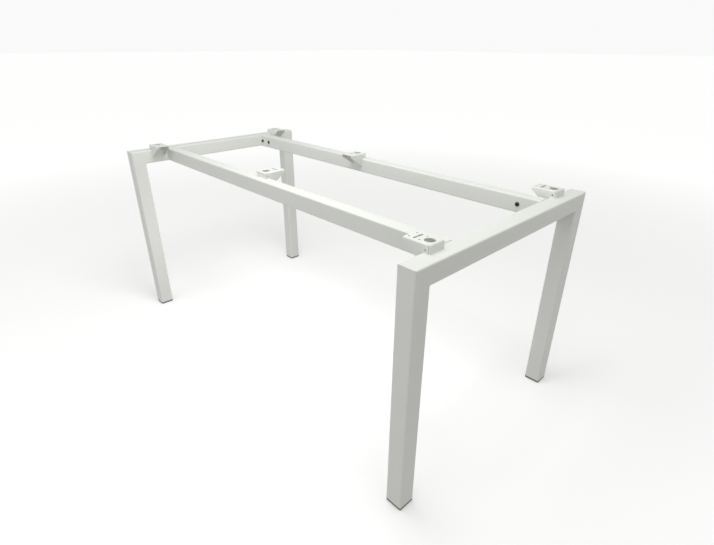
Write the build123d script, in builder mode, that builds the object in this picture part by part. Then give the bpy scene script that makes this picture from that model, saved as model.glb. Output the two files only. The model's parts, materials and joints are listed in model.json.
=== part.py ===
from build123d import *
import os

os.makedirs("parts", exist_ok=True)

# Frame, millimetres, measured over the steel. The origin is on the floor under its middle.
frame_length = 1500
frame_depth = 780
frame_height = 685

# Square tube of the end frames and rectangular tube of the rails
tube = 50
tube_wall = 2
tube_radius = 4
rail_height = 50
rail_width = 40
rail_inset = 144

# Stub that each rail end slides over, and the screws that hold it
stub_length = 100
stub_wall = 3
stub_gap = 0.3
stub_radius = 2.5
screw_from_beam = 17
screw_spacing = 50
screw_clearance_hole = 9
screw_diameter = 7.8
screw_length = 16
screw_head_diameter = 14
screw_head_height = 4.4
screw_head_top = 8
screw_head_shoulder = 11.6
screw_shoulder_height = 3
screw_rim = 0.6
screw_point = 1
screw_socket_size = 5
screw_socket_depth = 2.6
nut_size = 13
nut_height = 6.5
nut_bore = 8

# Folded desktop bracket: distances along it run from its root, heights from the tube's top
sheet = 2.5
bend_radius = 4
bracket_length = 74.5
bracket_width = 50
bracket_rise = 20
bracket_on_tube = 18
bracket_depth_at_tube = 27
bracket_tip_depth = 10
bracket_tip_radius = 3
corner_gap = 1.5
corner_relief = 1.2
access_hole_diameter = 26
access_hole_at = 20
slot_at = 52
slot_length = 34
slot_width = 6.5
screw_hole_diameter = 5
screw_hole_pitch_along = 29
screw_hole_pitch_across = 28
side_hole_diameter = 6
side_hole_at = 11
side_hole_height = 7

# Where the brackets stand: middle line of the corner ones, place of the middle ones along the rails
corner_bracket_y = 284
middle_bracket_x = -35

# Plastic insert foot
foot_height = 8
foot_edge = 1
plug_depth = 24
plug_size = 43
plug_wall = 2.2
fin_size = 45.8
fin_height = 1.4
fin_pitch = 7
fin_count = 3
fin_corner = 2.2

# Worked out from the above
beam_x = (frame_length - tube) / 2
beam_inner_x = frame_length / 2 - tube
leg_y = (frame_depth - tube) / 2
rail_y = frame_depth / 2 - rail_inset - rail_width / 2
rail_inner_y = rail_y - rail_width / 2
rail_z = frame_height - rail_height / 2


def tube_outline(width, height, wall, radius):
    """Closed tube wall drawn in the sketch that is open"""
    RectangleRounded(width, height, radius)
    RectangleRounded(width - 2 * wall, height - 2 * wall, radius - wall, mode=Mode.SUBTRACT)


def mitre_plane(side):
    """Cut between a leg and its beam, facing the beam; side is -1 at the front and 1 at the back"""
    return Plane(origin=(0, side * frame_depth / 2, frame_height), z_dir=(0, -side, 1))


def finish(part, name):
    """Name a finished piece and write it"""
    part.label = name
    export_step(part, f"parts/{name}.step")


# Top beams of the end frames
for x_side, end_name in ((-1, "left"), (1, "right")):
    with BuildPart() as beam:
        with BuildSketch(Plane.XZ.offset(-frame_depth / 2)):
            with Locations((x_side * beam_x, frame_height - tube / 2)):
                tube_outline(tube, tube, tube_wall, tube_radius)
        extrude(amount=frame_depth)
        split(bisect_by=mitre_plane(-1), keep=Keep.TOP)
        split(bisect_by=mitre_plane(1), keep=Keep.TOP)
    finish(beam.part, f"{end_name}_beam")

# Legs, each mitred into its beam
for x_side, end_name in ((-1, "left"), (1, "right")):
    for y_side, face_name in ((-1, "front"), (1, "back")):
        with BuildPart() as leg:
            with BuildSketch(Plane.XY.offset(foot_height)):
                with Locations((x_side * beam_x, y_side * leg_y)):
                    tube_outline(tube, tube, tube_wall, tube_radius)
            extrude(amount=frame_height - foot_height)
            split(bisect_by=mitre_plane(y_side), keep=Keep.BOTTOM)
        finish(leg.part, f"{face_name}_{end_name}_leg")

# Feet: a flush head under the tube and a hollow plug with grip fins inside it
for x_side, end_name in ((-1, "left"), (1, "right")):
    for y_side, face_name in ((-1, "front"), (1, "back")):
        leg_centre = (x_side * beam_x, y_side * leg_y)
        with BuildPart() as foot:
            with BuildSketch():
                with Locations(leg_centre):
                    RectangleRounded(tube, tube, tube_radius)
            extrude(amount=foot_height)
            chamfer(foot.faces().sort_by(Axis.Z)[0].edges(), length=foot_edge)
            with BuildSketch(Plane.XY.offset(foot_height)):
                with Locations(leg_centre):
                    Rectangle(plug_size, plug_size)
                    Rectangle(plug_size - 2 * plug_wall, plug_size - 2 * plug_wall, mode=Mode.SUBTRACT)
                    Rectangle(plug_size - 2 * plug_wall, plug_wall)
                    Rectangle(plug_wall, plug_size - 2 * plug_wall)
            extrude(amount=plug_depth)
            for fin in range(fin_count):
                fin_base = foot_height + fin_pitch * (fin + 1) - fin_height
                with BuildSketch(Plane.XY.offset(fin_base)) as fin_outline:
                    with Locations(leg_centre):
                        Rectangle(fin_size, fin_size)
                    chamfer(fin_outline.vertices(), length=fin_corner)
                    with Locations(leg_centre):
                        Rectangle(plug_size - plug_wall, plug_size - plug_wall, mode=Mode.SUBTRACT)
                extrude(amount=fin_height)
        finish(foot.part, f"{face_name}_{end_name}_foot")

# Rails between the beams, and the places of the screws on their inner faces
screw_planes = []
for y_side, face_name in ((-1, "front"), (1, "back")):
    rail_screw_planes = []
    for x_side in (-1, 1):
        for from_beam in (screw_from_beam, screw_from_beam + screw_spacing):
            place = (x_side * (beam_inner_x - from_beam), y_side * rail_inner_y, rail_z)
            rail_screw_planes.append(Plane(origin=place, x_dir=(1, 0, 0), z_dir=(0, -y_side, 0)))
    screw_planes += rail_screw_planes
    with BuildPart() as rail:
        with BuildSketch(Plane.YZ.offset(-beam_inner_x)):
            with Locations((y_side * rail_y, rail_z)):
                tube_outline(rail_width, rail_height, tube_wall, tube_radius)
        extrude(amount=2 * beam_inner_x)
        with Locations(*rail_screw_planes):
            Hole(radius=screw_clearance_hole / 2, depth=2 * tube_wall)
    finish(rail.part, f"{face_name}_rail")

# Stubs inside the rail ends, with a hole behind each screw
stub_width = rail_width - 2 * (tube_wall + stub_gap)
stub_height = rail_height - 2 * (tube_wall + stub_gap)
for x_side, end_name in ((-1, "left"), (1, "right")):
    for y_side, face_name in ((-1, "front"), (1, "back")):
        with BuildPart() as stub:
            with BuildSketch(Plane.YZ.offset(x_side * beam_inner_x)):
                with Locations((y_side * rail_y, rail_z)):
                    RectangleRounded(stub_width, stub_height, stub_radius)
                    Rectangle(stub_width - 2 * stub_wall, stub_height - 2 * stub_wall,
                              mode=Mode.SUBTRACT)
            extrude(amount=-x_side * stub_length)
            stub_screw_planes = [plane for plane in screw_planes
                                 if plane.origin.X * x_side > 0 and plane.origin.Y * y_side > 0]
            with Locations(*stub_screw_planes):
                Hole(radius=screw_clearance_hole / 2, depth=tube_wall + stub_gap + 2 * stub_wall)
        finish(stub.part, f"{face_name}_{end_name}_rail_stub")

# One button head screw, its head's flat underside on the XY plane
with BuildPart() as button_screw:
    with BuildSketch(Plane.XZ):
        with BuildLine():
            Polyline((0, screw_head_height), (screw_head_top / 2, screw_head_height),
                     (screw_head_shoulder / 2, screw_shoulder_height), (screw_head_diameter / 2, screw_rim),
                     (screw_head_diameter / 2, 0), (screw_diameter / 2, 0),
                     (screw_diameter / 2, screw_point - screw_length),
                     (screw_diameter / 2 - screw_point, -screw_length), (0, -screw_length),
                     (0, screw_head_height))
        make_face()
    revolve(axis=Axis.Z)
    with BuildSketch(Plane.XY.offset(screw_head_height)):
        RegularPolygon(screw_socket_size / 2, 6, major_radius=False)
    extrude(amount=-screw_socket_depth, mode=Mode.SUBTRACT)

with BuildPart() as rail_screws:
    with Locations(*screw_planes):
        add(button_screw.part)
finish(rail_screws.part, "rail_screws")

# One weld nut, its welded face on the XY plane
with BuildPart() as weld_nut:
    with BuildSketch():
        RegularPolygon(nut_size / 2, 6, major_radius=False)
        Circle(nut_bore / 2, mode=Mode.SUBTRACT)
    extrude(amount=-nut_height)

nut_offset = tube_wall + stub_gap + stub_wall
with BuildPart() as rail_weld_nuts:
    with Locations(*[plane.offset(-nut_offset) for plane in screw_planes]):
        add(weld_nut.part)
finish(rail_weld_nuts.part, "rail_weld_nuts")


def long_top_edges(body):
    """The two long edges of the top face of a solid that is longer than it is wide"""
    return body.faces().sort_by(Axis.Z)[-1].edges().sort_by(SortBy.LENGTH)[-2:]


def make_bracket(root):
    """Folded bracket; root lies on the tube's top at the root wall, x towards the free end"""
    side = Plane(origin=root.origin, x_dir=root.x_dir, z_dir=root.x_dir.cross(root.z_dir))
    top = root.offset(bracket_rise)
    plate_underside = bracket_rise - sheet
    cheek_start = sheet + corner_gap
    relief_end = bend_radius + corner_relief
    # Room under the plate and between the cheeks, with the inner radii of their bends
    with BuildPart() as room:
        with BuildSketch(side):
            with Locations((0, plate_underside)):
                Rectangle(bracket_length + sheet, plate_underside + bracket_depth_at_tube + sheet,
                          align=(Align.MIN, Align.MAX))
        extrude(amount=bracket_width / 2 - sheet, both=True)
        fillet(long_top_edges(room), radius=bend_radius - sheet)
    with BuildPart() as bracket:
        # Side view of plate and cheeks, as wide as the bracket, its tips rounded
        with BuildSketch(side) as side_view:
            with BuildLine():
                Polyline((cheek_start, 0), (cheek_start, bracket_rise), (bracket_length, bracket_rise),
                         (bracket_length, bracket_rise - bracket_tip_depth),
                         (bracket_on_tube, -bracket_depth_at_tube), (bracket_on_tube, 0), (cheek_start, 0))
            make_face()
            tip = side_view.vertices().sort_by(Axis.X)[-2:].sort_by(Axis.Y)[0]
            fillet(tip, radius=bracket_tip_radius)
        extrude(amount=bracket_width / 2, both=True)
        fillet(long_top_edges(bracket), radius=bend_radius)
        add(room.part, mode=Mode.SUBTRACT)
        # Root wall over the full width, bent into the plate and clear of the cheeks
        with BuildSketch(side) as wall_view:
            with BuildLine():
                Polyline((0, 0), (0, bracket_rise), (relief_end, bracket_rise), (relief_end, plate_underside),
                         (sheet, plate_underside), (sheet, 0), (0, 0))
            make_face()
            fillet(wall_view.vertices().sort_by_distance((0, bracket_rise))[0], radius=bend_radius)
            fillet(wall_view.vertices().sort_by_distance((sheet, plate_underside))[0],
                   radius=bend_radius - sheet)
        extrude(amount=bracket_width / 2, both=True)
        # Bend reliefs in the plate's two root corners
        with BuildSketch(top):
            with Locations((bend_radius, bracket_width / 2), (bend_radius, -bracket_width / 2)):
                Rectangle(corner_relief, 2 * bend_radius, align=(Align.MIN, Align.CENTER))
        extrude(amount=-bend_radius, mode=Mode.SUBTRACT)
        # Access hole over the tube's edge, slot across the plate and four screw holes round it
        with BuildSketch(top):
            with Locations((access_hole_at, 0)):
                Circle(access_hole_diameter / 2)
            with Locations((slot_at, 0)):
                SlotOverall(slot_length, slot_width, rotation=90)
                with GridLocations(screw_hole_pitch_along, screw_hole_pitch_across, 2, 2):
                    Circle(screw_hole_diameter / 2)
        extrude(amount=-sheet, mode=Mode.SUBTRACT)
        # Round hole low in each cheek, close to the root
        with BuildSketch(side):
            with Locations((side_hole_at, side_hole_height)):
                Circle(side_hole_diameter / 2)
        extrude(amount=bracket_width, both=True, mode=Mode.SUBTRACT)
    return bracket.part


# Root of each bracket: the corner ones stand on the beams, the middle ones on the rails
corner_x = beam_inner_x + bracket_on_tube
middle_y = rail_inner_y + bracket_on_tube
bracket_roots = {
    "front_left_bracket": ((-corner_x, -corner_bracket_y), (1, 0, 0)),
    "back_left_bracket": ((-corner_x, corner_bracket_y), (1, 0, 0)),
    "front_right_bracket": ((corner_x, -corner_bracket_y), (-1, 0, 0)),
    "back_right_bracket": ((corner_x, corner_bracket_y), (-1, 0, 0)),
    "front_middle_bracket": ((middle_bracket_x, -middle_y), (0, 1, 0)),
    "back_middle_bracket": ((middle_bracket_x, middle_y), (0, -1, 0)),
}
for name, (place, direction) in bracket_roots.items():
    root = Plane(origin=(*place, frame_height), x_dir=direction, z_dir=(0, 0, 1))
    finish(make_bracket(root), name)
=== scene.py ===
import json
from math import cos, pi, sin

import bmesh
import bpy
from mathutils import Matrix, Vector


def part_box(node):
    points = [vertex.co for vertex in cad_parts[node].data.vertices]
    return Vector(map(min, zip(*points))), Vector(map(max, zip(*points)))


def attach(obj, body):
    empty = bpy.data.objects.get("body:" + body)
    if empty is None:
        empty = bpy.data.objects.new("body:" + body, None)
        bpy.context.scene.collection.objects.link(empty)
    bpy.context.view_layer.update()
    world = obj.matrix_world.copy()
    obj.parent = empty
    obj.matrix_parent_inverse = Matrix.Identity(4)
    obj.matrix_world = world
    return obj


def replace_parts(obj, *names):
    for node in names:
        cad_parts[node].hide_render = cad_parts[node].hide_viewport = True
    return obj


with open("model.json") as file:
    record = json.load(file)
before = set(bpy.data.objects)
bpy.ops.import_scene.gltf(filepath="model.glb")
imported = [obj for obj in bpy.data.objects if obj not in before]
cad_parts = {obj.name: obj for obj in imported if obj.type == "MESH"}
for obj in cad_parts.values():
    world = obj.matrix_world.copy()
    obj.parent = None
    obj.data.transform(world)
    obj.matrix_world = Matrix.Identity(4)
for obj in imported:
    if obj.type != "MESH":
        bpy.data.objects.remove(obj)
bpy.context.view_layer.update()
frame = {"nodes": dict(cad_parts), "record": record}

scene = bpy.context.scene
scene.view_settings.view_transform = "Standard"
scene.view_settings.look = "None"
print("frame loaded:", len(frame["nodes"]), "pieces")

# Camera, matched to the photograph's viewing angle
view = {
    "place": (1.24964, -1.02511, 1.07766),
    "yaw": -0.8070,
    "pitch": 0.4586,
    "roll": -0.0044,
    "focalPixels": 465.61,
    "imageWidth": 714,
    "sensorWidth": 36,
    "farthest": 200,
}


def aimCamera(v):
    ahead = Vector((sin(v["yaw"]) * cos(v["pitch"]), cos(v["yaw"]) * cos(v["pitch"]), -sin(v["pitch"])))
    levelRight = Vector((cos(v["yaw"]), -sin(v["yaw"]), 0))
    levelDown = ahead.cross(levelRight)
    right = cos(v["roll"]) * levelRight + sin(v["roll"]) * levelDown
    down = -sin(v["roll"]) * levelRight + cos(v["roll"]) * levelDown
    turn = Matrix((right, -down, -ahead)).transposed().to_4x4()
    data = bpy.data.cameras.new("photoCamera")
    data.sensor_fit = "HORIZONTAL"
    data.sensor_width = v["sensorWidth"]
    data.lens = v["focalPixels"] * v["sensorWidth"] / v["imageWidth"]
    data.clip_end = v["farthest"]
    camera = bpy.data.objects.new("photoCamera", data)
    camera.matrix_world = Matrix.Translation(v["place"]) @ turn
    scene.collection.objects.link(camera)
    scene.camera = camera


aimCamera(view)


def linear(hexColour):
    channels = [int(hexColour[i:i + 2], 16) / 255 for i in (1, 3, 5)]
    return [c / 12.92 if c <= 0.04045 else ((c + 0.055) / 1.055) ** 2.4 for c in channels] + [1]


def addNode(tree, kind, settings=None, links=None):
    # settings: own properties by name, sockets by index or name; links: own input from another node's output
    node = tree.nodes.new(kind)
    for key, value in (settings or {}).items():
        if isinstance(key, str) and hasattr(node, key):
            setattr(node, key, value)
        else:
            node.inputs[key].default_value = value
    for key, output in (links or {}).items():
        tree.links.new(output, node.inputs[key])
    return node


def newMaterial(name, colour, settings):
    material = bpy.data.materials.new(name)
    material.use_nodes = True
    tree = material.node_tree
    shader = tree.nodes["Principled BSDF"]
    shader.inputs["Base Color"].default_value = linear(colour)
    for key, value in settings.items():
        shader.inputs[key].default_value = value
    whole = addNode(tree, "ShaderNodeTexCoord")
    place = addNode(tree, "ShaderNodeMapping", links={"Vector": whole.outputs["Object"]})
    return material, tree, shader, place.outputs[0]


# A pattern's own values are its size in metres and its detail
def addNoise(tree, place, size, detail):
    noise = addNode(tree, "ShaderNodeTexNoise", {"Scale": 1 / size, "Detail": detail}, {"Vector": place})
    return noise.outputs[0]


# Colour, gloss and relief of a shader, each led by a pattern that runs from 0 to 1
def tintShader(tree, shader, pattern, first, second):
    tint = addNode(tree, "ShaderNodeMix", {"data_type": "RGBA", 6: linear(first), 7: linear(second)},
                   {0: pattern})
    tree.links.new(tint.outputs[2], shader.inputs["Base Color"])


def roughenShader(tree, shader, pattern, roughness):
    low, high = roughness
    gloss = addNode(tree, "ShaderNodeMapRange", {"To Min": low, "To Max": high}, {"Value": pattern})
    tree.links.new(gloss.outputs[0], shader.inputs["Roughness"])


def raiseShader(tree, shader, pattern, strength, depth):
    bump = addNode(tree, "ShaderNodeBump", {"Strength": strength, "Distance": depth}, {"Height": pattern})
    tree.links.new(bump.outputs[0], shader.inputs["Normal"])


# Polyester powder coat, sprayed and baked on steel: an off-white satin skin with a faint orange peel, a
# little greyer where it is thin. Real peel is about 2 mm across and real grain 0.2 mm: both are drawn
# coarser, to show
powder = {
    "thinColour": "#DFE1DB",
    "colour": "#E6E7E2",
    "finish": {"Roughness": 0.42, "IOR": 1.5},
    "patches": (0.16, 3),
    "peel": (0.0034, 1),
    "grain": (0.0009, 2),
    "grainShare": 0.25,
    "roughness": (0.36, 0.5),
    "relief": (0.6, 0.00005),
}


def makePowderCoat(p):
    material, tree, shader, place = newMaterial("powderCoatSatin", p["colour"], p["finish"])
    patches, peel, grain = (addNoise(tree, place, *p[name]) for name in ("patches", "peel", "grain"))
    skin = addNode(tree, "ShaderNodeMath", {"operation": "MULTIPLY_ADD", 1: p["grainShare"]},
                   {0: grain, 2: peel})
    tintShader(tree, shader, patches, p["thinColour"], p["colour"])
    roughenShader(tree, shader, grain, p["roughness"])
    raiseShader(tree, shader, skin.outputs[0], *p["relief"])
    return material


# Moulded polyethylene: dull and slightly waxy, with flow marks and a spark-eroded grain. The real grain is
# about 0.1 mm: it is drawn ten times coarser, to show
footPlastic = {
    "colour": "#74777A",
    "flowColour": "#7F8285",
    "finish": {"Roughness": 0.55, "IOR": 1.51},
    "flow": (0.02, 4),
    "grainSize": 0.0011,
    "roughness": (0.48, 0.64),
    "relief": (0.5, 0.00009),
}


def makeFootPlastic(p):
    material, tree, shader, place = newMaterial("mouldedPolyethylene", p["colour"], p["finish"])
    flow = addNoise(tree, place, *p["flow"])
    grain = addNode(tree, "ShaderNodeTexVoronoi", {"Scale": 1 / p["grainSize"]}, {"Vector": place})
    tintShader(tree, shader, flow, p["colour"], p["flowColour"])
    roughenShader(tree, shader, grain.outputs[0], p["roughness"])
    raiseShader(tree, shader, grain.outputs[0], *p["relief"])
    return material


# Black oxide on machine screws: dark, a little oily, blotched where the bath took unevenly. Real turning
# marks are 0.1 mm apart: they are drawn coarser, to show
blackOxide = {
    "material": "blackOxideSteel",
    "colour": "#2B2B2D",
    "second": "#4A4A4B",
    "finish": {"Metallic": 0.7, "Roughness": 0.4},
    "blotches": (0.004, 5),
    "marks": (0.0005, 2),
    "dullAt": "blotches",
    "roughness": (0.3, 0.5),
    "relief": (0.3, 0.00002),
}
# Pressed steel of the weld nuts, bare inside the tubes: grey, with a soft heat tint near the welds. The
# press's marks are a tenth of a millimetre: they are drawn coarser, to show
pressedSteel = {
    "material": "pressedSteel",
    "colour": "#A6A5A0",
    "second": "#8C8071",
    "finish": {"Metallic": 1, "Roughness": 0.38},
    "blotches": (0.01, 3),
    "marks": (0.0012, 4),
    "dullAt": "marks",
    "roughness": (0.28, 0.5),
    "relief": (0.3, 0.00002),
}


def makeSteel(p):
    material, tree, shader, place = newMaterial(p["material"], p["colour"], p["finish"])
    pattern = {name: addNoise(tree, place, *p[name]) for name in ("blotches", "marks")}
    tintShader(tree, shader, pattern["blotches"], p["colour"], p["second"])
    roughenShader(tree, shader, pattern[p["dullAt"]], p["roughness"])
    raiseShader(tree, shader, pattern["marks"], *p["relief"])
    return material


finishes = {
    "powder_coat": makePowderCoat(powder),
    "foot_plastic": makeFootPlastic(footPlastic),
    "black_steel": makeSteel(blackOxide),
    "bare_steel": makeSteel(pressedSteel),
}

for part in frame["record"]["subparts"]:
    node = frame["nodes"][part["node"]]
    node.data.materials.clear()
    node.data.materials.append(finishes[part["material_slot"]])
print("finishes given to the CAD pieces")


# Faces that meet more sharply than this, in radians, keep a crisp edge
creaseAngle = 0.7


def addPiece(name, bm, slot):
    mesh = bpy.data.meshes.new(name)
    bmesh.ops.recalc_face_normals(bm, faces=bm.faces)
    bm.to_mesh(mesh)
    bm.free()
    mesh.materials.append(finishes[slot])
    for face in mesh.polygons:
        face.use_smooth = True
    mesh.set_sharp_from_angle(angle=creaseAngle)
    piece = bpy.data.objects.new(name, mesh)
    scene.collection.objects.link(piece)
    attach(piece, "root")
    return piece


# Each edge that meets these vertices, once
def edgesOf(verts):
    return list(dict.fromkeys(edge for vert in verts for edge in vert.link_edges))


# A loop pushed along turn's Z: each step gives it a new radius and height, and leaves a band of faces
def pushLoop(bm, edges, turn, radius, steps):
    height = 0
    for newRadius, newHeight in steps:
        grown = bmesh.ops.extrude_edge_only(bm, edges=edges)["geom"]
        verts = [item for item in grown if isinstance(item, bmesh.types.BMVert)]
        edges = [item for item in grown if isinstance(item, bmesh.types.BMEdge)]
        factor = newRadius / radius
        bmesh.ops.scale(bm, vec=(factor, factor, 1), space=turn.inverted(), verts=verts)
        bmesh.ops.translate(bm, vec=turn.to_3x3() @ Vector((0, 0, newHeight - height)), verts=verts)
        radius, height = newRadius, newHeight
    return edges


# Weld beads, coated over: short overlapping ripples of a hand-made bead in each inside corner
weld = {
    "radius": 0.0017,
    "sink": 0.0005,
    "ripple": 0.0022,
    "swell": 0.16,
    "crestAt": 0.3,
    "troughAt": 0.95,
    "tipShare": 0.5,
    "sides": 10,
    "bracketX": 0.718,
    "bracketY": 0.284,
    "middleX": -0.035,
    "middleY": 0.224,
    "rootHalf": 0.0225,
    "cheekFrom": 0.0055,
    "cheekTo": 0.0165,
    "cheekOut": 0.025,
    "cornerRadius": 0.0024,
    "cornerHalf": 0.0205,
}


def makeBead(bm, start, end, radius, w):
    # A loop pushed from start to end, wide at each ripple's crest and narrow between
    along = end - start
    turn = Matrix.Translation(start) @ along.to_track_quat("Z", "Y").to_matrix().to_4x4()
    narrow = radius * (1 - w["swell"])
    tip = narrow * w["tipShare"]
    loop = bmesh.ops.create_circle(bm, cap_ends=True, segments=w["sides"], radius=tip, matrix=turn)
    count = max(3, round(along.length / w["ripple"]))
    pitch = along.length / count
    steps = []
    for ripple in range(count):
        steps += [(radius, pitch * (ripple + w["crestAt"])), (narrow, pitch * (ripple + w["troughAt"]))]
    steps.append((tip, along.length))
    last = pushLoop(bm, edgesOf(loop["verts"]), turn, tip, steps)
    bmesh.ops.contextual_create(bm, geom=last)


def makeWelds(w):
    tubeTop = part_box("left_beam")[1][2]
    beads = bmesh.new()
    # Twice what a bead's middle line stands off the faces of its corner
    outs = w["radius"] - w["sink"] * 2
    roots = [(Vector((side * w["bracketX"], face * w["bracketY"], tubeTop)), Vector((-side, 0, 0)))
             for side in (-1, 1) for face in (-1, 1)]
    roots += [(Vector((w["middleX"], face * w["middleY"], tubeTop)), Vector((0, -face, 0)))
              for face in (-1, 1)]
    up = Vector((0, 0, outs / 2))
    for root, ahead in roots:
        across = Vector((0, 0, 1)).cross(ahead)
        foot = root - ahead * outs / 2 + up
        makeBead(beads, foot - across * w["rootHalf"], foot + across * w["rootHalf"], w["radius"], w)
        for side in (-1, 1):
            line = root + across * side * (w["cheekOut"] + outs / 2) + up
            makeBead(beads, line + ahead * w["cheekFrom"], line + ahead * w["cheekTo"], w["radius"], w)
    addPiece("bracketWelds", beads, "powder_coat")
    corners = bmesh.new()
    for end in ("left", "right"):
        low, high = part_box(f"{end}_beam")
        middle = (low[0] + high[0]) / 2
        for face in ("front", "back"):
            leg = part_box(f"{face}_{end}_leg")
            inside = leg[1][1] if face == "front" else leg[0][1]
            toMiddle = 1 if face == "front" else -1
            line = Vector((middle, inside + toMiddle * outs / 2, low[2] - outs / 2))
            half = Vector((w["cornerHalf"], 0, 0))
            makeBead(corners, line - half, line + half, w["cornerRadius"], w)
    addPiece("cornerWelds", corners, "powder_coat")


makeWelds(weld)
print("weld beads laid")

# Button head screws, M8: turned dome, broached hexagon and rolled thread
screw = {
    "headHeight": 0.0044,
    "dome": [(0.0070, 0.0000), (0.0070, 0.0005), (0.0068, 0.0009), (0.0064, 0.0017), (0.0058, 0.0026),
             (0.0050, 0.0035), (0.0042, 0.0041), (0.0036, 0.0044)],
    "socketAcross": 0.005,
    "socketDepth": 0.0026,
    "drillPoint": 0.0011,
    "coreRadius": 0.00335,
    "shankRadius": 0.0039,
    "neckLength": 0.0012,
    "neckEnd": 0.0017,
    "pointChamfer": 0.0008,
    "length": 0.016,
    "pitch": 0.00125,
    "threadFrom": 0.0018,
    "threadShort": 0.0030,
    "ridgeSink": 0.0001,
    "ridgeFoot": 0.45,
    "ridgeCrest": 0.06,
    "joinBelow": 0.00001,
    "sides": 24,
    "fromBeam": 0.017,
    "apart": 0.050,
    "lastTurn": 0.37,
}


def makeScrew(s):
    bm = bmesh.new()
    level = Matrix()
    # Dome, from the rim's underside up to the flat round the socket
    ring = bmesh.ops.create_circle(bm, segments=s["sides"], radius=s["shankRadius"], matrix=level)["verts"]
    edges = edgesOf(ring)
    flat = pushLoop(bm, edges, level, s["shankRadius"], s["dome"])
    # Hexagon, its sides cut into as many lengths as the dome has, then pressed down to the drilled bottom
    top = Matrix.Translation((0, 0, s["headHeight"]))
    hexagon = bmesh.ops.create_circle(bm, segments=6, radius=s["socketAcross"] / 2 / cos(pi / 6),
                                      matrix=top)["verts"]
    sides = edgesOf(hexagon)
    cut = bmesh.ops.subdivide_edges(bm, edges=sides, cuts=s["sides"] // 6 - 1)
    rim = [item for item in cut["geom"] if isinstance(item, bmesh.types.BMEdge)]
    rim = list(dict.fromkeys(rim + [edge for edge in sides if edge.is_valid]))
    bmesh.ops.bridge_loops(bm, edges=flat + rim)
    pushLoop(bm, rim, top, 1, [(1, -s["socketDepth"]), (0.001, -s["socketDepth"] - s["drillPoint"])])
    # Shank under the head: a short plain neck, the core and a chamfered point
    core, chamfer = s["coreRadius"], s["pointChamfer"]
    point = pushLoop(bm, edges, level, s["shankRadius"], [
        (s["shankRadius"], -s["neckLength"]), (core, -s["neckEnd"]), (core, chamfer - s["length"]),
        (core - chamfer, -s["length"])])
    bmesh.ops.contextual_create(bm, geom=point)
    # Thread: a ridge's closed outline swept round and down, a pitch a turn, then capped at both ends
    turns = (s["length"] - s["threadShort"]) / s["pitch"]
    foot, crest = (core - s["ridgeSink"], s["ridgeFoot"]), (s["shankRadius"], s["ridgeCrest"])
    outline = [foot, crest, (crest[0], -crest[1]), (foot[0], -foot[1])]
    points = [bm.verts.new((r, 0, h * s["pitch"] - s["threadFrom"])) for r, h in outline]
    ridge = [bm.edges.new(pair) for pair in zip(points, points[1:] + points[:1])]
    steps = int(turns * s["sides"])
    swept = bmesh.ops.spin(bm, geom=points + ridge, cent=(0, 0, 0), axis=(0, 0, 1), angle=2 * pi * turns,
                           steps=steps, dvec=(0, 0, -turns * s["pitch"] / steps))
    for end in (ridge, swept["geom_last"]):
        bmesh.ops.contextual_create(bm, geom=[item for item in end if isinstance(item, bmesh.types.BMEdge)])
    # The socket's last loop is far smaller than this and closes to a point
    bmesh.ops.remove_doubles(bm, verts=bm.verts, dist=s["joinBelow"])
    bmesh.ops.recalc_face_normals(bm, faces=bm.faces)
    mesh = bpy.data.meshes.new("oneScrew")
    bm.to_mesh(mesh)
    bm.free()
    return mesh


def makeRailScrews(s):
    oneScrew = makeScrew(s)
    screws = bmesh.new()
    for face, out in (("front", 1), ("back", -1)):
        low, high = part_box(f"{face}_rail")
        inner = high[1] if face == "front" else low[1]
        lean = Vector((0, out, 0)).to_track_quat("Z", "Y").to_matrix().to_4x4()
        for end, railEnd in ((-1, low[0]), (1, high[0])):
            for order, fromBeam in enumerate((s["fromBeam"], s["fromBeam"] + s["apart"])):
                screws.from_mesh(oneScrew)
                screws.verts.ensure_lookup_table()
                place = Matrix.Translation((railEnd - end * fromBeam, inner, (low[2] + high[2]) / 2))
                # Each screw stops at its own angle
                spanner = Matrix.Rotation(s["lastTurn"] * (order + end + 2 * out), 4, "Z")
                bmesh.ops.transform(screws, matrix=place @ lean @ spanner,
                                    verts=screws.verts[-len(oneScrew.vertices):])
    bpy.data.meshes.remove(oneScrew)
    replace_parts(addPiece("railScrews", screws, "black_steel"), "rail_screws")


makeRailScrews(screw)
print("rail screws turned")

# White paper floor, lit from behind so that it stays white to the horizon, under soft studio light. Its own
# bounce is left out: the air below the horizon stands for the greyer floor that the photo's light came off.
# Lengths are in metres, sky heights are sines of the angle above the horizon
studio = {
    "floorSize": 120,
    "floorColour": "#FBFBFA",
    "floorFinish": {"Roughness": 0.9, "Specular IOR Level": 0.1},
    "nearGlow": 0.2,
    "farGlow": 0.5,
    "glowFrom": 1.0,
    "glowTo": 4.0,
    "skyBelow": 0.36,
    "skyHorizon": 0.95,
    "skyTop": 0.49,
    "bandFoot": -0.03,
    "bandTop": 0.07,
    "bandEnd": 0.28,
}
lamps = {
    "rightBox": {"place": (0.7, -0.2, 2.2), "aim": (0.7, -0.2, 0), "size": (0.8, 0.8), "power": 10.0},
    "insideBox": {"place": (0.1, -0.3, 1.7), "aim": (-0.7, -0.1, 0.3), "size": (0.8, 0.8), "power": 6.8},
    "frontBox": {"place": (0, -3.0, 2.0), "aim": (0, 0, 0.4), "size": (3.0, 1.5), "power": 14.0},
    "lowBox": {"place": (-0.1, -0.1, 0.12), "aim": (-0.7, -0.1, 0.12), "size": (0.3, 0.2), "power": 0.75},
}


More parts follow.
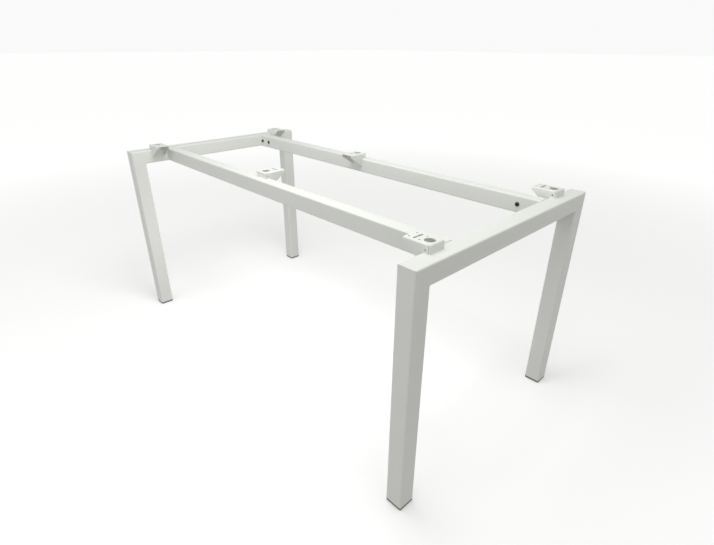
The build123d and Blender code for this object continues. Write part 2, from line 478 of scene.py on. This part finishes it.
def makeFloor(s):
    material, tree, shader, place = newMaterial("whitePaper", s["floorColour"], s["floorFinish"])
    shader.inputs["Emission Color"].default_value = (1, 1, 1, 1)
    away = addNode(tree, "ShaderNodeVectorMath", {"operation": "LENGTH"}, {0: place})
    glow = addNode(tree, "ShaderNodeMapRange",
                   {"From Min": s["glowFrom"], "From Max": s["glowTo"], "To Min": s["nearGlow"],
                    "To Max": s["farGlow"]}, {"Value": away.outputs["Value"]})
    tree.links.new(glow.outputs[0], shader.inputs["Emission Strength"])
    bm = bmesh.new()
    bmesh.ops.create_grid(bm, x_segments=1, y_segments=1, size=s["floorSize"] / 2)
    mesh = bpy.data.meshes.new("floor")
    bm.to_mesh(mesh)
    bm.free()
    mesh.materials.append(material)
    floor = bpy.data.objects.new("floor", mesh)
    floor.visible_diffuse = False
    scene.collection.objects.link(floor)


def lightStudio(s, lights):
    for name, lamp in lights.items():
        data = bpy.data.lights.new(name, "AREA")
        data.energy = lamp["power"]
        data.shape = "RECTANGLE"
        data.size, data.size_y = lamp["size"]
        light = bpy.data.objects.new(name, data)
        light.location = lamp["place"]
        aim = Vector(lamp["aim"]) - Vector(lamp["place"])
        light.rotation_euler = aim.to_track_quat("-Z", "Y").to_euler()
        light.visible_camera = False
        scene.collection.objects.link(light)
    world = bpy.data.worlds.new("studioAir")
    world.use_nodes = True
    scene.world = world
    tree = world.node_tree
    height = addNode(tree, "ShaderNodeSeparateXYZ",
                     links={0: addNode(tree, "ShaderNodeTexCoord").outputs["Generated"]})
    band = addNode(tree, "ShaderNodeMapRange",
                   {"From Min": s["bandTop"], "From Max": s["bandEnd"], "To Min": s["skyHorizon"],
                    "To Max": s["skyTop"]}, {"Value": height.outputs["Z"]})
    above = addNode(tree, "ShaderNodeMath", {"operation": "GREATER_THAN", 1: s["bandFoot"]},
                    {0: height.outputs["Z"]})
    air = addNode(tree, "ShaderNodeMix", {"data_type": "FLOAT", 2: s["skyBelow"]},
                  {0: above.outputs[0], 3: band.outputs[0]})
    tree.links.new(air.outputs[0], tree.nodes["Background"].inputs["Strength"])
    tree.nodes["Background"].inputs["Color"].default_value = (1, 1, 1, 1)


makeFloor(studio)
lightStudio(studio, lamps)
print("floor and lights placed")
